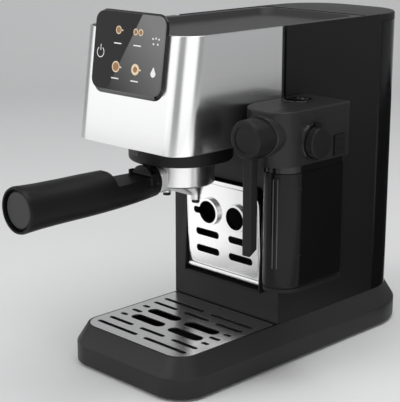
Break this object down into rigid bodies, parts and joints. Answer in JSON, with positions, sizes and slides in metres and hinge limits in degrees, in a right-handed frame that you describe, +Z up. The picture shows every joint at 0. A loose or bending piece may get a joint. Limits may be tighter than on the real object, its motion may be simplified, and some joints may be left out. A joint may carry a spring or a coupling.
{
  "type": "espresso coffee maker",
  "caption": "Slim pump espresso machine with a steel head, portafilter, folding cup stand, drip tray, rear water tank and a side milk container with frother spout.",
  "frame": {"origin": "on the table plane, on the machine's middle plane, 160.5 mm behind the front edge of the base", "axes": "+X to the machine's right side, where the milk unit hangs; -Y is the front; +Z up"},
  "size_m": [0.209, 0.448, 0.3285],
  "materials": {
    "steel_brushed": "brushed",
    "steel_polished": "polished",
    "steel_plain": "plain",
    "black_plastic": "satin",
    "grey_plastic": "satin",
    "black_gloss": "gloss",
    "panel_glass": "gloss",
    "tank_clear": "dark clear plastic",
    "black_rubber": "matt",
    "clear_hose": "silicone",
    "aluminium_cast": "cast",
    "brass_plain": "plain",
    "white_plastic": "moulded",
    "green_board": "circuit board"
  },
  "bodies": {
    "machine": {"base_shell": "black_plastic", "base_plate": "black_plastic", "rubber_feet": "black_rubber", "base_screws": "steel_plain", "cord_gland": "black_plastic", "column_front": "black_plastic", "stand_bracket": "grey_plastic", "stand_pin": "steel_plain", "side_panel_left": "black_plastic", "side_panel_right": "black_plastic", "back_cover": "black_plastic", "chassis": "grey_plastic", "head_cover": "steel_brushed", "head_frame": "grey_plastic", "head_floor": "black_plastic", "top_cover": "black_plastic", "panel_housing": "black_gloss", "panel_glass": "panel_glass", "panel_board": "green_board", "group_collar": "black_plastic", "group_head": "aluminium_cast", "group_gasket": "black_rubber", "shower_screen": "steel_plain", "shower_screw": "steel_plain", "boiler": "aluminium_cast", "pump": "white_plastic", "pump_mounts": "black_rubber", "suction_hose": "clear_hose", "flow_meter": "white_plastic", "pressure_hose": "clear_hose", "steam_valve": "brass_plain", "steam_hose": "clear_hose", "control_board": "green_board", "tank_seat": "grey_plastic", "milk_dock": "grey_plastic"},
    "portafilter": {"filter_ring": "steel_polished", "portafilter_spout": "steel_polished", "filter_basket": "steel_plain", "portafilter_handle": "black_plastic", "handle_cap": "black_gloss", "handle_bolt": "steel_plain"},
    "clip": {"basket_clip": "black_plastic"},
    "tray": {"drip_tray": "black_plastic"},
    "grid": {"drip_grid": "steel_brushed"},
    "stand": {"cup_stand": "steel_polished"},
    "tank": {"water_tank": "tank_clear", "tank_valve": "grey_plastic"},
    "lid": {"tank_lid": "black_plastic"},
    "milk_unit": {"milk_lid": "black_plastic", "milk_valve_block": "grey_plastic", "suction_tube": "clear_hose", "knob_ring": "steel_polished", "lid_seal": "black_rubber"},
    "milk_jug": {"milk_container": "tank_clear", "container_collar": "black_gloss", "container_foot": "black_plastic"},
    "fill_cap": {"milk_cap": "black_gloss"},
    "froth_dial": {"froth_knob": "black_plastic"},
    "latch": {"latch_button": "black_plastic"},
    "spout": {"milk_spout": "black_plastic"}
  },
  "joints": [
    {"name": "portafilter_lock", "type": "hinge", "parent": "machine", "child": "portafilter", "pos_m": [0, -0.0831, 0.1925], "axis": [0, 0, 1], "range_deg": [-45, 0]},
    {"name": "clip_flip", "type": "hinge", "parent": "portafilter", "child": "clip", "pos_m": [0, -0.1294, 0.1871], "axis": [1, 0, 0], "range_deg": [0, 75]},
    {"name": "tray_lift", "type": "slide", "parent": "machine", "child": "tray", "axis": [0, 0, 1], "range_m": [0, 0.0225]},
    {"name": "grid_lift", "type": "slide", "parent": "tray", "child": "grid", "axis": [0, 0, 1], "range_m": [0, 0.004]},
    {"name": "stand_fold", "type": "hinge", "parent": "machine", "child": "stand", "pos_m": [0, -0.0245, 0.0725], "axis": [1, 0, 0], "range_deg": [0, 87]},
    {"name": "tank_lift", "type": "slide", "parent": "machine", "child": "tank", "axis": [0, 0, 1], "range_m": [0, 0.06]},
    {"name": "lid_lift", "type": "slide", "parent": "tank", "child": "lid", "axis": [0, 0, 1], "range_m": [0, 0.03]},
    {"name": "milk_unit_pull", "type": "slide", "parent": "machine", "child": "milk_unit", "axis": [1, 0, 0], "range_m": [0, 0.03]},
    {"name": "jug_drop", "type": "slide", "parent": "milk_unit", "child": "milk_jug", "axis": [0, 0, -1], "range_m": [0, 0.05]},
    {"name": "cap_lift", "type": "slide", "parent": "milk_unit", "child": "fill_cap", "axis": [0, 0, 1], "range_m": [0, 0.008]},
    {"name": "froth_turn", "type": "hinge", "parent": "milk_unit", "child": "froth_dial", "pos_m": [0.125, -0.0445, 0.2215], "axis": [1, 0, 0], "range_deg": [0, 100]},
    {"name": "latch_push", "type": "slide", "parent": "milk_unit", "child": "latch", "axis": [-1, 0, 0], "range_m": [0, 0.002], "stiffness_N_per_m": 1200},
    {"name": "spout_swing", "type": "hinge", "parent": "milk_unit", "child": "spout", "pos_m": [0.102, -0.1, 0.2295], "axis": [0, 1, 0], "range_deg": [0, 45]}
  ]
}
